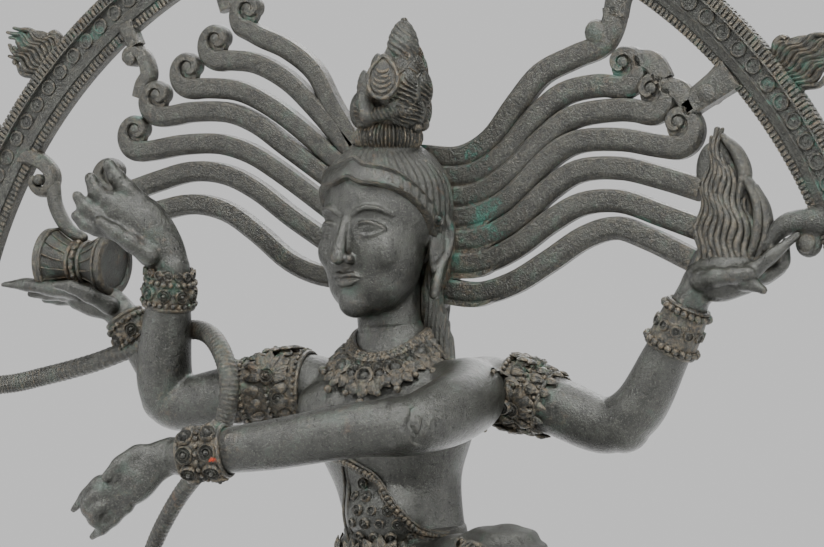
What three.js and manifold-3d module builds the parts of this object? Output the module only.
// A cast bronze dancing figure with four arms and flying hair, inside an arch of flames, on a double lotus
// base. Millimetres, +Z up, the figure faces -Y. The origin is the centre of the plinth's underside.
import * as THREE from "three";
import { mergeVertices } from "three/addons/utils/BufferGeometryUtils.js";
import Module from "manifold-3d";

const wasm = await Module();
wasm.setup();

// ---- Driving dimensions -------------------------------------------------------------------------
const CLEARANCE = 0.3; // gap between two pieces that seat on each other

const PLINTH_MARGIN = 4; // how far the plinth runs on past the sockets of the arch
const PLINTH_DEPTH = 168;
const PLINTH_HEIGHT = 30;
const PLINTH_STEP = 8; // how far the middle of the plinth is set in
const LOTUS_LENGTH = 296;
const LOTUS_DEPTH = 150;
const LOTUS_LOWER_HEIGHT = 27;
const LOTUS_UPPER_HEIGHT = 30;
const LOTUS_PETALS = 22;
const PETAL_GROOVE = 0.06; // depth of the grooves between the petals, as a share of the lotus
const SPIGOT_RADIUS = 22; // spigots that centre the lotuses and the dwarf on one another
const SPIGOT_HEIGHT = 8;

const ARCH_RADIUS = 263; // centre line of the upper, round half
const ARCH_CENTRE_ABOVE_BASE = 325; // from the top of the upper lotus
const ARCH_LEG_DROP = 520; // half height of the oval that the lower half follows
const ARCH_FACE = 26;
const ARCH_THICKNESS = 12;
const ARCH_FRONT_Y = 14;
const ARCH_CHANNEL_WIDTH = 9;
const ARCH_CHANNEL_DEPTH = 1.5;
const ARCH_CHANNEL_OFFSET = 2.5; // channel's middle, outward of the centre line
const ARCH_CHANNEL_REACH = 0.93; // share of each leg that the channel runs down
const ARCH_SOCKET_HEIGHT = 16; // raised block on the plinth round each leg of the arch
const ARCH_SOCKET_WALL = 7;
const ARCH_TENON = 9; // how deep a leg stands in its socket
const ARCH_STEPS = 50; // facets along the arch

const FLAMES_PER_SIDE = 12;
const FLAME_PITCH = 56.5; // along the arch's centre line
const FLAME_TOP_OFFSET = 10.5; // the top flame stands this far off the middle
const FLAME_HEIGHT = 32;
const FLAME_WIDTH = 28;
const FLAME_THICKNESS = 8;
const FLAME_SEAT = 1.2; // depth of the flat on the arch's edge under each flame
const FLAME_TENON = 4;
const FLAME_TENON_WIDTH = 12;
const FLAME_TENON_THICKNESS = 5;

const HAIR_THICKNESS = 8; // of the flying hair, whose middle lies in the middle of the arch
const LOCK_WIDTH = 9.5;
const CURL_RADIUS = 9.5;
const STRUT_WIDTH = 8.5;
const HAIR_PAD = 4.5; // thickness of the cap of hair
const HAIRLINE_LEAN = -38;

const FIGURE_FOOT_LIFT = 45; // top of the dwarf's back above the upper lotus
const SKULL = [31, 35, 40];
const JAW = [17, 15, 15];
const EAR = [3.5, 6, 17];
const SKULL_YAW = -10; // degrees, towards the figure's right shoulder
const PALM_LENGTH = 26;
const FINGER_LENGTH = 27;
const FINGER_PITCH = 5;
const COLLAR_THICKNESS = 3.5;
const SASH_THICKNESS = 2.2;
const SASH_WIDTH = 10;
const SASH_SLANT = 24;
const SASH_MIDDLE = [17, 246]; // sideways, and up from the sole of the standing foot
const BELT_THICKNESS = 4;
const BELT_TO = 0.09; // share of the torso's height that the belt covers
const BRACELET_THICKNESS = 3.2;
const ARMLET_THICKNESS = 2.6;
const COBRA_RADIUS = 5;
const DRUM_LENGTH = 44;
const DRUM_RADIUS = 17;
const DRUM_WAIST = 9;
const DRUM_LEAN = 86;
const TIE_LOBE_RADIUS = 6.5; // scrolls that tie the arch to the figure's hands
const TIE_THICKNESS = 8;

// ---- Levels worked out from the driving dimensions -----------------------------------------------
const LOTUS_LOWER_Z = PLINTH_HEIGHT + CLEARANCE;
const LOTUS_UPPER_Z = LOTUS_LOWER_Z + LOTUS_LOWER_HEIGHT + CLEARANCE;
const BASE_TOP_Z = LOTUS_UPPER_Z + LOTUS_UPPER_HEIGHT;
const ARCH_CENTRE_Z = BASE_TOP_Z + ARCH_CENTRE_ABOVE_BASE;
const FOOT_Z = BASE_TOP_Z + FIGURE_FOOT_LIFT;
const ARCH_MID_Y = ARCH_FRONT_Y + ARCH_THICKNESS / 2;
const HAIR_MID_Y = ARCH_MID_Y;

// ---- Finishes -------------------------------------------------------------------------------------
function finish(color, roughness, metalness) {
  return new THREE.MeshStandardMaterial({ color, roughness, metalness, flatShading: true });
}
const FINISH = {
  skin: finish(0x4a4a44, 0.42, 0.85),
  ornament: finish(0x55503f, 0.6, 0.75),
  hair: finish(0x3f4a42, 0.55, 0.8),
  arch: finish(0x4b4a3c, 0.6, 0.75),
  base: finish(0x4d4636, 0.62, 0.7),
};

// ---- Solids ---------------------------------------------------------------------------------------
const vec = (p) => new THREE.Vector3(...p);
const WIDTHWAYS = vec([1, 0, 0]);
const DEPTHWAYS = vec([0, 1, 0]);
const radians = THREE.MathUtils.degToRad;
const FAR = 1000; // half side of a box that only cuts, larger than the statue

function solid(geometry) {
  geometry.deleteAttribute("normal");
  geometry.deleteAttribute("uv");
  const merged = mergeVertices(geometry, 1e-4);
  return new wasm.Manifold(
    new wasm.Mesh({
      numProp: 3,
      vertProperties: merged.attributes.position.array,
      triVerts: new Uint32Array(merged.index.array),
    }),
  );
}

function union(solids) {
  return solids.reduce((sum, next) => sum.add(next));
}

function without(body, ...cutters) {
  return cutters.reduce((left, cutter) => left.subtract(cutter), body);
}

// The largest body of a solid, once thin shavings left by a cut are dropped.
function mainBody(body) {
  return body.decompose().reduce((best, next) => (next.volume() > best.volume() ? next : best));
}

function boxesMeet(a, b) {
  return [0, 1, 2].every((i) => a.min[i] <= b.max[i] && b.min[i] <= a.max[i]);
}

// Adds a piece. `make(grow)` gives its solid, or the same solid a little larger all round. Each piece is cut
// by the pieces placed before it, grown by the clearance, so it seats on them and never touches them.
const group = new THREE.Group();
const seats = [];
function place(name, make, material) {
  const own = make(0);
  const near = seats.filter((seat) => boxesMeet(seat.boundingBox(), own.boundingBox()));
  const made = mainBody(without(own, ...near)).getMesh();
  seats.push(make(CLEARANCE));
  const geometry = new THREE.BufferGeometry();
  const positions = new Float32Array(made.numVert * 3);
  for (let i = 0; i < made.numVert; i++)
    positions.set(made.vertProperties.subarray(i * made.numProp, i * made.numProp + 3), i * 3);
  geometry.setAttribute("position", new THREE.BufferAttribute(positions, 3));
  geometry.setIndex(new THREE.BufferAttribute(made.triVerts, 1));
  geometry.computeVertexNormals();
  const mesh = new THREE.Mesh(geometry, material);
  mesh.name = name;
  group.add(mesh);
}

function box([x0, y0, z0], [x1, y1, z1]) {
  const g = new THREE.BoxGeometry(x1 - x0, y1 - y0, z1 - z0);
  return solid(g.translate((x0 + x1) / 2, (y0 + y1) / 2, (z0 + z1) / 2));
}

// An ellipsoid, turned about Z by `yaw` degrees.
function ball(at, [rx, ry, rz], { grow = 0, yaw = 0, sides = 12 } = {}) {
  const g = new THREE.SphereGeometry(1, sides, Math.round(sides * 0.6));
  g.rotateX(Math.PI / 2).scale(rx + grow, ry + grow, rz + grow).rotateZ(radians(yaw));
  return solid(g.translate(...at));
}

// A closed tube of oval sections. Each station is [x, y, z, half width along `side`, half depth across it].
// `from` and `to` take only a stretch of it, and `grow` makes it thicker all round.
function limb(stations, { side = WIDTHWAYS, sides = 9, steps, grow = 0, from = 0, to = 1 } = {}) {
  const path = new THREE.CatmullRomCurve3(stations.map((s) => vec(s.slice(0, 3))));
  const size = new THREE.CatmullRomCurve3(stations.map((s) => vec([s[3], s[4] ?? s[3], 0])));
  const rings = steps ?? Math.max(2, Math.round((stations.length - 1) * 1.5 * (to - from)));
  const g = new THREE.CylinderGeometry(1, 1, 1, sides, rings);
  const p = g.attributes.position;
  for (let i = 0; i < p.count; i++) {
    const end = p.getY(i); // -0.5 at the start, 0.5 at the end
    const t = from + (to - from) * (end + 0.5);
    const along = path.getTangent(t);
    const across = side.clone().addScaledVector(along, -side.dot(along)).normalize();
    const out = new THREE.Vector3().crossVectors(across, along);
    const half = size.getPoint(t);
    const at = path.getPoint(t);
    if (Math.abs(end) > 0.499) at.addScaledVector(along, Math.sign(end) * Math.max(grow, 0));
    at.addScaledVector(across, p.getX(i) * (half.x + grow));
    at.addScaledVector(out, p.getZ(i) * (half.y + grow));
    p.setXYZ(i, at.x, at.y, at.z);
  }
  return solid(g);
}

// An outline in the X-Z plane, extruded from y0 to y0 + depth.
function slab(points, y0, depth) {
  const shape = new THREE.Shape(points.map(([x, z]) => new THREE.Vector2(x, z)));
  const g = new THREE.ExtrudeGeometry(shape, { depth, bevelEnabled: false });
  return solid(g.rotateX(Math.PI / 2).translate(0, y0 + depth, 0));
}

function disc(x, z, radius, y0, depth, sides = 8) {
  const g = new THREE.CylinderGeometry(radius, radius, depth, sides);
  return solid(g.translate(x, y0 + depth / 2, z));
}

// ---- Arch: a round upper half and an oval lower half, from one plinth socket to the other ----------
const archQuarter = (Math.PI / 2) * ARCH_RADIUS;

// A place on the arch: `turn` is the angle from the top, clockwise as seen from the front, and `out` the
// distance outward of the centre line.
function archPoint(turn, out = 0) {
  const drop = Math.cos(turn) > 0 ? ARCH_RADIUS : ARCH_LEG_DROP;
  const x = ARCH_RADIUS * Math.sin(turn);
  const z = ARCH_CENTRE_Z + drop * Math.cos(turn);
  const normal = new THREE.Vector2(drop * Math.sin(turn), ARCH_RADIUS * Math.cos(turn)).normalize();
  return { x: x + normal.x * out, z: z + normal.y * out, normal };
}

// The angle at which the arch's centre line has run a given length from the top.
const TURN_STEP = 0.002;
function archTurn(length) {
  const run = Math.abs(length);
  if (run <= archQuarter) return length / ARCH_RADIUS;
  let turn = Math.PI / 2;
  for (let done = archQuarter; done < run; turn += TURN_STEP)
    done += Math.hypot(ARCH_RADIUS * Math.cos(turn), ARCH_LEG_DROP * Math.sin(turn)) * TURN_STEP;
  return Math.sign(length) * turn;
}

const archFootZ = PLINTH_HEIGHT + ARCH_SOCKET_HEIGHT - ARCH_TENON;
const archEnd = Math.acos((archFootZ - ARCH_CENTRE_Z) / ARCH_LEG_DROP);

function archStrip(inner, outer, y0, depth, end) {
  const points = [];
  for (let i = 0; i <= ARCH_STEPS; i++) points.push(archPoint(end * ((2 * i) / ARCH_STEPS - 1), outer));
  for (let i = ARCH_STEPS; i >= 0; i--) points.push(archPoint(end * ((2 * i) / ARCH_STEPS - 1), inner));
  return slab(points.map((p) => [p.x, p.z]), y0, depth);
}

const archHalf = ARCH_FACE / 2;
const belowFoot = (gap) => box([-FAR, -FAR, -FAR], [FAR, FAR, archFootZ - gap]);
const PAST_FOOT = 0.05; // how far the strip runs on past the foot, as an angle, before it is cut level
function archBody(grow) {
  const strip = archStrip(
    -archHalf - grow, archHalf + grow, ARCH_FRONT_Y - grow, ARCH_THICKNESS + 2 * grow, archEnd + PAST_FOOT,
  );
  return strip.subtract(belowFoot(grow));
}

// The outline of one flame: a foot, and tongues that lean over one another. Shares of the width and height.
const FLAME_OUTLINE = [
  [-1, 0], [1, 0], [1.1, 0.3], [0.5, 0.8], [0.3, 0.65], [0.05, 1], [-0.2, 0.7], [-0.5, 0.86], [-1.1, 0.35],
];

// Turns a solid made on the Z axis to stand on the arch's outer edge at flame number `n`.
function onArch(body, n) {
  const { x, z, normal } = archPoint(archTurn(FLAME_TOP_OFFSET + n * FLAME_PITCH), archHalf - FLAME_SEAT);
  const lean = THREE.MathUtils.radToDeg(Math.atan2(normal.x, normal.y));
  return body.rotate([0, lean, 0]).translate([x, 0, z]);
}
function flameTenon(grow) {
  const [w, d] = [FLAME_TENON_WIDTH / 2 + grow, FLAME_TENON_THICKNESS / 2 + grow];
  return box([-w, ARCH_MID_Y - d, -FLAME_TENON - grow], [w, ARCH_MID_Y + d, FLAME_SEAT]);
}
const flameNumbers = Array.from({ length: 2 * FLAMES_PER_SIDE + 1 }, (_, i) => i - FLAMES_PER_SIDE);
const flame = slab(
  FLAME_OUTLINE.map(([w, h]) => [(w * FLAME_WIDTH) / 2, h * FLAME_HEIGHT]),
  ARCH_MID_Y - FLAME_THICKNESS / 2,
  FLAME_THICKNESS,
).add(flameTenon(0));
// A flat on the arch's edge, on which a flame's foot seats, with the pocket for its tenon.
const flamePocket = box(
  [-FLAME_WIDTH / 2 - 1, ARCH_FRONT_Y - 1, -CLEARANCE],
  [FLAME_WIDTH / 2 + 1, ARCH_FRONT_Y + ARCH_THICKNESS + 1, FLAME_HEIGHT / 4],
).add(flameTenon(CLEARANCE));
const channel = archStrip(
  ARCH_CHANNEL_OFFSET - ARCH_CHANNEL_WIDTH / 2,
  ARCH_CHANNEL_OFFSET + ARCH_CHANNEL_WIDTH / 2,
  ARCH_FRONT_Y - 1,
  1 + ARCH_CHANNEL_DEPTH,
  archEnd * ARCH_CHANNEL_REACH,
);

// ---- Base: plinth, lower lotus, upper lotus ---------------------------------------------------------
const LOWER_TOP_Z = LOTUS_LOWER_Z + LOTUS_LOWER_HEIGHT;
const ARCH_FOOT_X = archPoint(archEnd).x;
const SOCKET_HALF = archHalf + ARCH_SOCKET_WALL;
function plinthCourse(inset, z0, z1) {
  const [x, y] = [ARCH_FOOT_X + SOCKET_HALF + PLINTH_MARGIN - inset, PLINTH_DEPTH / 2 - inset];
  return box([-x, -y, z0], [x, y, z1]);
}
function archSocket(sign) {
  const x = sign * ARCH_FOOT_X;
  const w = SOCKET_HALF;
  return box(
    [x - w, ARCH_FRONT_Y - ARCH_SOCKET_WALL, PLINTH_HEIGHT - 1],
    [x + w, ARCH_FRONT_Y + ARCH_THICKNESS + ARCH_SOCKET_WALL, PLINTH_HEIGHT + ARCH_SOCKET_HEIGHT],
  );
}
// A round peg that stands on a level and centres the piece above it.
function spigot(z, grow = 0) {
  const height = SPIGOT_HEIGHT + 1 + grow;
  const g = new THREE.CylinderGeometry(SPIGOT_RADIUS + grow, SPIGOT_RADIUS + grow, height, 16);
  return solid(g.rotateX(Math.PI / 2).translate(0, 0, z - 1 + height / 2));
}
// A ring of petals as one solid with a peg on top: every other facet line of the oval is drawn in by
// PETAL_GROOVE where the profile marks a row as petalled. Rows are [share of the oval, z, petalled].
function lotus(profile, topZ) {
  const outline = profile.map(([reach, z]) => new THREE.Vector2(reach, z));
  const g = new THREE.LatheGeometry(outline, 2 * LOTUS_PETALS);
  const p = g.attributes.position;
  for (let i = 0; i < p.count; i++) {
    const [line, row] = [Math.floor(i / profile.length), profile[i % profile.length]];
    const draw = row[2] && line % 2 ? 1 - PETAL_GROOVE : 1;
    p.setXYZ(i, p.getX(i) * draw, p.getY(i), p.getZ(i) * draw);
  }
  g.rotateX(Math.PI / 2).scale(LOTUS_LENGTH / 2, LOTUS_DEPTH / 2, 1);
  return solid(g).add(spigot(topZ));
}

// ---- Figure: stations along each limb, heights from the sole of the standing foot --------------------
const up = (points) => points.map(([x, y, z, ...rest]) => [x, y, z + FOOT_Z, ...rest]);

const TORSO = up([
  [20, 6, 214, 34, 25], [19, 6, 228, 32, 24], [16, 6, 250, 34, 25], [14, 5, 274, 43, 30],
  [13, 5, 292, 47, 31], [12, 6, 305, 44, 27], [12, 7, 313, 30, 22], [12, 7, 320, 19, 18],
]);
const HIPS = up([[12, 4, 168, 26, 22], [17, 5, 186, 39, 29], [20, 6, 204, 38, 28], [20, 6, 218, 33, 25]]);
const SKULL_AT = up([[8, 4, 380]])[0];
const onHead = (points) =>
  points.map(([x, y, z, ...rest]) => [SKULL_AT[0] + x, SKULL_AT[1] + y, SKULL_AT[2] + z, ...rest]);
const NECK = [...up([[12, 7, 316, 19, 18], [10, 6, 334, 17.5]]), ...onHead([[1, 4, -20, 17, 18]])];
const JAW_AT = onHead([[-4, -17, -30]])[0];
const ARMS = {
  front_right: up([
    [-14, 4, 296, 14], [-36, 2, 298, 16.5], [-74, -4, 293, 15], [-108, -6, 289, 14], [-112, -8, 300, 14.5],
    [-107, -14, 330, 12.5], [-102, -18, 358, 9.5],
  ]),
  front_left: up([
    [34, 4, 297, 14], [61, -6, 296, 17.5], [65, -36, 289, 17], [57, -63, 283, 14.5], [36, -74, 281, 13.2],
    [-8, -83, 273, 12.2], [-52, -90, 267, 9.6],
  ]),
  back_right: up([
    [-14, 24, 296, 11], [-36, 30, 298, 12.5], [-78, 31, 291, 12.5], [-118, 27, 285, 12.5],
    [-132, 24, 300, 11.5], [-144, 20, 318, 10], [-154, 18, 333, 8.5],
  ]),
  back_left: up([
    [36, 10, 297, 13], [64, 14, 299, 15], [96, 17, 290, 14.5], [124, 19, 281, 14], [138, 19, 288, 13.5],
    [154, 18, 314, 11.5], [170, 17, 346, 8.5],
  ]),
};
const LEGS = {
  standing: up([
    [2, 6, 196, 25, 24], [-22, -16, 156, 22], [-42, -40, 108, 17.5], [-36, -36, 92, 16], [-20, -22, 58, 14],
    [-2, -6, 22, 9.5], [2, -3, 10, 9.5],
  ]),
  raised: up([
    [34, 4, 196, 25, 24], [72, -30, 206, 23], [112, -68, 219, 17.5], [104, -78, 210, 16.5],
    [70, -90, 188, 14.5], [30, -100, 170, 9.5], [20, -102, 166, 9.5],
  ]),
};
const last = (stations) => stations[stations.length - 1].slice(0, 3);

// A hand on a wrist: palm, four fingers and a thumb. The fingers point along `reach`, the back of the hand
// faces `back`, `bend` curls the fingertips towards the palm, and `thumb` is its side, 1 or -1.
function hand(wrist, { reach, back, bend = 0, spread = 0.1, thumb = 1 }, grow) {
  const along = vec(reach).normalize();
  const outward = vec(back).addScaledVector(along, -vec(back).dot(along)).normalize();
  const across = new THREE.Vector3().crossVectors(along, outward).multiplyScalar(thumb);
  const at = (a, c, o) =>
    vec(wrist).addScaledVector(along, a).addScaledVector(across, c).addScaledVector(outward, o).toArray();
  const digits = [-1.5, -0.5, 0.5, 1.5].map((k) => {
    const length = FINGER_LENGTH * (1 - 0.06 * k * k);
    const stations = [
      [...at(PALM_LENGTH * 0.7, k * FINGER_PITCH, 0), 3.6],
      [...at(PALM_LENGTH + length * 0.45, k * (FINGER_PITCH + spread * 18), 0), 3.2],
      [...at(PALM_LENGTH + length, k * (FINGER_PITCH + spread * 32), -bend * length), 1.8],
    ];
    return limb(stations, { sides: 5, steps: 2, side: across, grow });
  });
  const palmStations = [
    [...at(-5, 0, 0), 8.5, 7.5],
    [...at(PALM_LENGTH * 0.45, 0, 0), 11.5, 6.5],
    [...at(PALM_LENGTH, 0, 0), 10.5, 4.5],
  ];
  const thumbStations = [
    [...at(PALM_LENGTH * 0.25, -8, 0), 4.6],
    [...at(PALM_LENGTH * 0.7, -16, -2), 3.8],
    [...at(PALM_LENGTH * 1.15, -18, -4), 2],
  ];
  const palm = limb(palmStations, { side: across, sides: 6, steps: 2, grow });
  const thumbBody = limb(thumbStations, { side: outward, sides: 5, steps: 2, grow });
  return union([palm, ...digits, thumbBody]);
}
const HANDS = {
  front_right: { reach: [-0.5, -0.36, 0.9], back: [0.3, 1, 0.25], spread: 0.12, thumb: -1 },
  front_left: { reach: [-1, 0, -0.5], back: [0, -0.4, 0.8], bend: 0.25 },
  back_right: { reach: [-1, -0.1, 0.2], back: [-0.2, 0.1, -1], spread: 0.05 },
  back_left: { reach: [1, -0.05, 0.2], back: [0.2, 0.1, -1], spread: 0.08, thumb: -1 },
};
function foot(ankle, reach, grow) {
  const along = vec(reach).normalize();
  const at = (a, z) => vec(ankle).addScaledVector(along, a).add(vec([0, 0, z])).toArray();
  const side = new THREE.Vector3().crossVectors(along, vec([0, 0, 1])).normalize();
  const stations = [
    [...at(-14, -1), 6, 6], [...at(-6, 0), 9, 9], [...at(14, -2), 11, 7.5], [...at(32, -4), 12, 5.5],
    [...at(44, -5), 8, 4],
  ];
  return limb(stations, { side, grow });
}
const FEET = { standing: [-0.85, -0.5, 0], raised: [-1, -0.1, -0.1] };

const torso = (grow) => limb(TORSO, { grow, sides: 14, steps: 9 });
const hips = (grow) => limb(HIPS, { grow, sides: 14, steps: 4 });
const skull = (grow) => ball(SKULL_AT, SKULL, { grow, yaw: SKULL_YAW, sides: 14 });
const arm = (key) => (grow) =>
  limb(ARMS[key], { grow, side: DEPTHWAYS }).add(hand(last(ARMS[key]), HANDS[key], grow));
const leg = (key) => (grow) =>
  limb(LEGS[key], { grow }).add(foot(last(LEGS[key]), FEET[key], grow));
function ear(sign, grow) {
  const out = vec([sign * (SKULL[0] - 1), 4, -14]).applyAxisAngle(vec([0, 0, 1]), radians(SKULL_YAW));
  return ball(out.add(vec(SKULL_AT)).toArray(), EAR, { grow, yaw: SKULL_YAW, sides: 8 });
}
const head = (grow) =>
  union([skull(grow), limb(NECK, { grow }), ball(JAW_AT, JAW, { grow }), ear(-1, grow), ear(1, grow)]);

place("torso", torso, FINISH.skin);
place("hips", hips, FINISH.ornament);
place("head", head, FINISH.skin);
for (const key of Object.keys(ARMS)) place("arm_" + key, arm(key), FINISH.skin);
for (const key of Object.keys(LEGS)) place("leg_" + key, leg(key), FINISH.skin);

// ---- Ornaments -----------------------------------------------------------------------------------------
const collarZone = ball(up([[12, -10, 306]])[0], [38, 60, 32], { sides: 14 });
place("collar", (grow) => torso(COLLAR_THICKNESS + grow).intersect(collarZone), FINISH.ornament);

function slantedZone([x, z], turn, width) {
  const g = new THREE.BoxGeometry(FAR, FAR, width);
  return solid(g.rotateY(radians(turn)).translate(x, 0, z + FOOT_Z));
}
place(
  "chest_sash",
  (grow) => torso(SASH_THICKNESS + grow).intersect(slantedZone(SASH_MIDDLE, SASH_SLANT, SASH_WIDTH)),
  FINISH.ornament,
);
place(
  "belt",
  (grow) => limb(TORSO, { to: BELT_TO, steps: 2, sides: 14, grow: BELT_THICKNESS + grow }),
  FINISH.ornament,
);

const ARMLET_SPAN = { front_right: [0.15, 0.3], back_right: [0.235, 0.34], back_left: [0.2, 0.31] };
for (const [key, [from, to]] of Object.entries(ARMLET_SPAN))
  place(
    "armlet_" + key,
    (grow) => limb(ARMS[key], { side: DEPTHWAYS, from, to, steps: 2, grow: ARMLET_THICKNESS + grow }),
    FINISH.ornament,
  );
const BRACELET_FROM = 0.905;
for (const key of Object.keys(ARMS))
  place(
    "bracelet_" + key,
    (grow) => {
      const thickness = BRACELET_THICKNESS + grow;
      return limb(ARMS[key], { side: DEPTHWAYS, from: BRACELET_FROM, steps: 2, grow: thickness });
    },
    FINISH.ornament,
  );
const ANKLET_SPAN = { standing: [0.86, 0.95], raised: [0.8, 0.9] };
for (const [key, [from, to]] of Object.entries(ANKLET_SPAN))
  place(
    "anklet_" + key,
    (grow) => limb(LEGS[key], { from, to, steps: 2, grow: BRACELET_THICKNESS + grow }),
    FINISH.ornament,
  );

// ---- Hair --------------------------------------------------------------------------------------------
// The face side of the hairline: a leaning box that is cut out of the cap of hair.
function faceZone() {
  const g = new THREE.BoxGeometry(120, 80, 120);
  g.translate(0, -40, 0).rotateX(radians(HAIRLINE_LEAN)).rotateZ(radians(SKULL_YAW));
  return solid(g.translate(SKULL_AT[0], SKULL_AT[1], SKULL_AT[2] + 8));
}
const HAIR_FALL = [
  ...onHead([[SKULL[0] - 1, 8, -8, 4, 8]]),
  ...up([[40, 17, 345, 4.5, 7], [45, 19, 327, 4, 5]]),
];
const hairCap = (grow) =>
  ball(SKULL_AT, SKULL, { grow: HAIR_PAD + grow, yaw: SKULL_YAW, sides: 14 })
    .subtract(faceZone())
    .add(limb(HAIR_FALL, { sides: 8, grow }));
place("hair_cap", hairCap, FINISH.hair);

const KNOT = onHead([
  [4, -3, 32, 17, 16], [5, -3, 44, 18, 17], [9, -4, 58, 19, 17], [12, -5, 70, 21, 18], [14, -6, 82, 16, 14],
  [15, -7, 90, 9], [16, -8, 99, 3],
]);
place("topknot", (grow) => limb(KNOT, { grow, sides: 12, steps: 9 }), FINISH.hair);

place("arch", (grow) => {
  const cuts = flameNumbers.map((n) => onArch(flamePocket, n));
  return grow ? archBody(grow) : without(archBody(0), channel, ...cuts);
}, FINISH.arch);

// Each lock runs from behind the head to its curl. Points are [x, z], z from the sole of the standing foot.
const LOCKS_LEFT = [
  {
    path: [[-16, 420], [-30, 441], [-40, 458], [-56, 470], [-76, 477], [-88, 484], [-92, 496]],
    curl: [-80, 493],
  },
  {
    path: [[-14, 412], [-40, 440], [-56, 454], [-74, 463], [-94, 466], [-105, 472]],
    curl: [-98, 477],
  },
  {
    path: [[-14, 402], [-48, 429], [-66, 441], [-84, 449], [-104, 452], [-121, 457]],
    curl: [-115, 463],
  },
  {
    path: [[-14, 392], [-56, 420], [-74, 432], [-90, 438], [-112, 439], [-134, 439], [-143, 448]],
    curl: [-134, 448],
  },
  {
    path: [[-14, 376], [-60, 407], [-78, 417], [-96, 422], [-118, 422], [-142, 419], [-156, 428]],
    curl: [-147, 431],
  },
  {
    path: [[-14, 360], [-52, 383], [-74, 398], [-92, 406], [-112, 408], [-134, 403], [-152, 398]],
    curl: [-160, 409],
  },
  { path: [[-12, 352], [-36, 354], [-54, 361], [-74, 376], [-92, 387], [-112, 391], [-136, 387]] },
];
const LOCKS_RIGHT = [
  {
    path: [[22, 414], [44, 413], [60, 421], [74, 438], [88, 453], [106, 461], [122, 466], [127, 478]],
    curl: [119, 473],
  },
  {
    path: [[24, 404], [50, 404], [68, 414], [84, 431], [100, 443], [122, 449], [140, 452]],
    curl: [136, 459],
  },
  {
    path: [[26, 393], [52, 394], [70, 404], [88, 420], [104, 431], [128, 436], [152, 437]],
    curl: [152, 446],
  },
  {
    path: [[26, 382], [54, 384], [72, 393], [90, 410], [106, 419], [130, 421], [154, 418], [168, 422]],
    curl: [165, 429],
  },
  { path: [[26, 371], [54, 372], [74, 381], [92, 396], [108, 405], [130, 406], [152, 401], [170, 395]] },
  { path: [[26, 360], [54, 360], [74, 368], [92, 380], [110, 389], [130, 390], [152, 383], [170, 376]] },
  { path: [[26, 349], [52, 345], [72, 350], [92, 361], [112, 373], [128, 377], [144, 372], [166, 361]] },
];
// Short scrolls from the hair to the arch. Each ends inside the arch, at an angle in degrees from its top.
const STRUTS_LEFT = [
  { path: [[-92, 494], [-94, 506]], turn: -21.5 },
  { path: [[-134, 448], [-134, 462], [-140, 472], [-149, 474]], turn: -40 },
];
const STRUTS_RIGHT = [
  { path: [[127, 476], [128, 486]], turn: 30.5 },
  { path: [[168, 426], [174, 436], [180, 444]], turn: 49 },
];
// The plate behind the head from which the locks part.
const ROOT_LEFT = [[-8, 344], [-22, 350], [-30, 372], [-30, 400], [-26, 420], [-22, 432], [-8, 428]];
const ROOT_RIGHT = [[20, 345], [56, 342], [68, 350], [70, 396], [66, 424], [48, 416], [20, 418]];

// A place on the arch's inner edge, at an angle in degrees from its top.
function onArchEdge(turn) {
  const { x, z } = archPoint(radians(turn), -archHalf);
  return [x, z];
}

function flyingHair(locks, struts, root, grow) {
  const depth = HAIR_THICKNESS + 2 * grow;
  const raise = (points) => points.map(([x, z]) => [x, z + FOOT_Z]);
  const rod = (points, width) => {
    const stations = points.map(([x, z]) => [x, HAIR_MID_Y, z, HAIR_THICKNESS / 2, width / 2]);
    return limb(stations, { side: DEPTHWAYS, sides: 6, grow });
  };
  const curls = locks.filter((lock) => lock.curl).map((lock) => raise([lock.curl])[0]);
  return union([
    slab(raise(root), HAIR_MID_Y - depth / 2, depth),
    ...locks.map((lock) => rod(raise(lock.path), LOCK_WIDTH)),
    ...curls.map(([x, z]) => disc(x, z, CURL_RADIUS + grow, HAIR_MID_Y - depth / 2, depth)),
    ...struts.map(({ path, turn }) => rod([...raise(path), onArchEdge(turn)], STRUT_WIDTH)),
  ]);
}
place("hair_left", (grow) => flyingHair(LOCKS_LEFT, STRUTS_LEFT, ROOT_LEFT, grow), FINISH.hair);
place("hair_right", (grow) => flyingHair(LOCKS_RIGHT, STRUTS_RIGHT, ROOT_RIGHT, grow), FINISH.hair);

flameNumbers.forEach((n, i) => {
  place("flame_" + String(i + 1).padStart(2, "0"), () => onArch(flame, n), FINISH.arch);
});

// ---- Attributes: drum, palm flame, cobra ---------------------------------------------------------------
const fromWrist = (key, points) => {
  const [wx, wy, wz] = last(ARMS[key]);
  return points.map(([x, y, z, ...rest]) => [wx + x, wy + y, wz + z, ...rest]);
};
const DRUM_AT = fromWrist("back_right", [[-24, -3, 28]])[0];
place("drum", (grow) => {
  const h = DRUM_LENGTH / 2 + grow;
  const r = DRUM_RADIUS + grow;
  const waist = DRUM_WAIST + grow;
  const profile = [[0, -h], [r, -h], [r, -h * 0.8], [waist, -2], [waist, 2], [r, h * 0.8], [r, h], [0, h]];
  const g = new THREE.LatheGeometry(profile.map(([a, b]) => new THREE.Vector2(a, b)), 14);
  return solid(g.rotateZ(radians(DRUM_LEAN)).translate(...DRUM_AT));
}, FINISH.ornament);

const PALM_FLAME = fromWrist("back_left", [
  [17, 0, 12, 13, 6], [17, 1, 28, 16, 8], [16, 1, 52, 13, 7], [13, 1, 72, 4, 3],
]);
place("palm_flame", (grow) => limb(PALM_FLAME, { sides: 8, steps: 6, grow }), FINISH.ornament);

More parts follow.
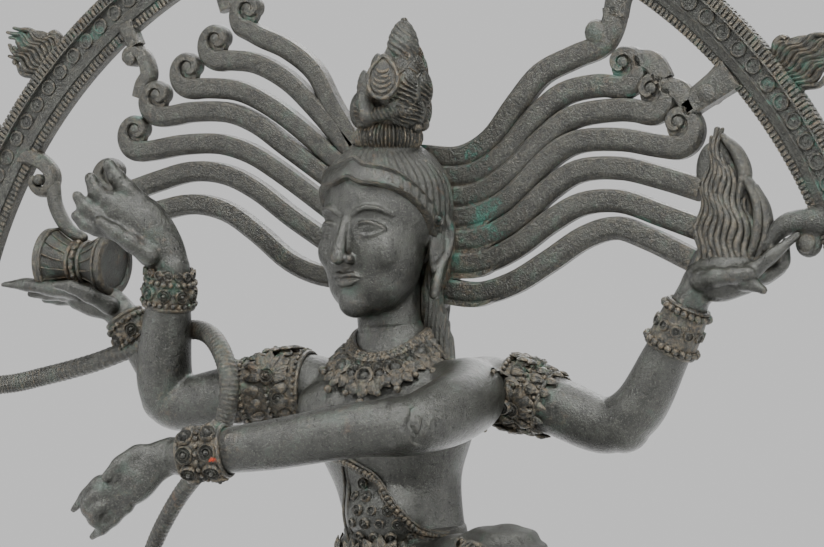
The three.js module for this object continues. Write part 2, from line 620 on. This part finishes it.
// Two scrolls cast between the arch and the figure: one down to the drum, one out from the flame's hand.
const [TIE_LEFT_TURN, TIE_RIGHT_TURN] = [-59.5, 67];
function tie(turn, stations, grow) {
  const [x, z] = onArchEdge(turn);
  const half = TIE_THICKNESS / 2 + grow;
  const lobe = disc(x, z, TIE_LOBE_RADIUS + grow, ARCH_MID_Y - half, 2 * half);
  return limb([[x, ARCH_MID_Y, z, 4, 4], ...stations], { side: DEPTHWAYS, sides: 6, grow }).add(lobe);
}
const TIE_TO_DRUM = up([
  [-205, 20, 417, 4, 4], [-199, 19, 404, 4, 4], [-190, 15, 388, 4, 4], [-182, 14, 372, 3, 3],
]);
const TIE_TO_HAND = up([[222, 18, 376, 4, 5], [209, 16, 368, 4, 4]]);
place("tie_left", (grow) => tie(TIE_LEFT_TURN, TIE_TO_DRUM, grow), FINISH.arch);
place("tie_right", (grow) => tie(TIE_RIGHT_TURN, TIE_TO_HAND, grow), FINISH.arch);

// The cobra: head on the face of the arch, body behind the raised forearm, a loop over the upper arm, and a
// tail that hangs behind the crossing arm.
const COBRA = up([
  [-257, 6, 322, 0.8], [-252, 6, 305, 1], [-239, 8, 296, 1], [-222, 13, 296, 1], [-204, 18, 300, 1],
  [-170, 16, 308, 1], [-132, 12, 320, 1],
  [-96, -2, 326, 1], [-74, -18, 318, 1], [-62, -28, 300, 1], [-66, -27, 280, 0.95], [-82, -18, 260, 0.95],
  [-104, -8, 240, 0.9], [-122, 0, 218, 0.85], [-134, 4, 194, 0.7], [-140, 6, 172, 0.4],
]).map(([x, y, z, share]) => [x, y, z, share * COBRA_RADIUS]);
place("cobra", (grow) => limb(COBRA, { sides: 6, steps: 32, grow }), FINISH.ornament);

// ---- Dwarf and base ----------------------------------------------------------------------------------
const BACK_Z = BASE_TOP_Z + CLEARANCE;
const onBack = (stations) => stations.map(([x, y, z, ...rest]) => [x, y, z + BACK_Z, ...rest]);
const DWARF_LIMBS = [
  [[-52, -16, 20, 7], [-66, -34, 12, 6], [-84, -36, 7, 5]],
  [[50, 8, 17, 10], [84, 26, 13, 9], [60, 40, 10, 7], [44, 44, 8, 6]],
  [[50, -4, 17, 10], [86, -18, 14, 9], [104, 2, 10, 6]],
];
const DWARF_BACK = onBack([
  [-62, -6, 20, 13, 14], [-30, -2, 22, 19, 20], [6, 0, 23, 20, 21], [40, 2, 21, 18, 18], [62, 4, 17, 12, 13],
]);
const DWARF_HEAD = [15, 15, 17];
const DWARF_HEAD_AT = [-76, -10, BACK_Z + 32];
const belowDwarf = box([-FAR, -FAR, -FAR], [FAR, FAR, BACK_Z]);
const dwarfPad = box([-36, -18, BACK_Z], [44, 18, BACK_Z + 10]);
function dwarf(grow) {
  const body = union([
    limb(DWARF_BACK, { side: DEPTHWAYS, grow }),
    ball(DWARF_HEAD_AT, DWARF_HEAD, { grow }),
    ...DWARF_LIMBS.map((stations) => limb(onBack(stations), { sides: 6, grow })),
  ]);
  return body.subtract(belowDwarf).add(dwarfPad).subtract(spigot(BASE_TOP_Z, CLEARANCE));
}
place("dwarf", dwarf, FINISH.skin);

const UPPER_PROFILE = [
  [0, LOTUS_UPPER_Z], [0.78, LOTUS_UPPER_Z], [0.84, LOTUS_UPPER_Z + 3], [0.98, BASE_TOP_Z - 11, true],
  [0.92, BASE_TOP_Z - 7], [0.93, BASE_TOP_Z], [0, BASE_TOP_Z],
];
const LOWER_PROFILE = [
  [0, LOTUS_LOWER_Z], [0.97, LOTUS_LOWER_Z], [0.97, LOTUS_LOWER_Z + 3], [1, LOTUS_LOWER_Z + 6, true],
  [0.84, LOWER_TOP_Z - 3], [0.78, LOWER_TOP_Z], [0, LOWER_TOP_Z],
];
const lotusUpper = () => lotus(UPPER_PROFILE, BASE_TOP_Z).subtract(spigot(LOWER_TOP_Z, CLEARANCE));
const lotusLower = () => lotus(LOWER_PROFILE, LOWER_TOP_Z).subtract(spigot(PLINTH_HEIGHT, CLEARANCE));
place("lotus_upper", lotusUpper, FINISH.base);
place("lotus_lower", lotusLower, FINISH.base);
const [COURSE_LOW_TOP, COURSE_MID_TOP] = [PLINTH_HEIGHT * 0.3, PLINTH_HEIGHT * 0.75];
const plinth = () =>
  union([
    plinthCourse(0, 0, COURSE_LOW_TOP),
    plinthCourse(PLINTH_STEP, COURSE_LOW_TOP - 1, COURSE_MID_TOP),
    plinthCourse(PLINTH_STEP / 2, COURSE_MID_TOP - 1, PLINTH_HEIGHT),
    archSocket(-1),
    archSocket(1),
    spigot(PLINTH_HEIGHT),
  ]);
place("plinth", plinth, FINISH.base);

export default group;
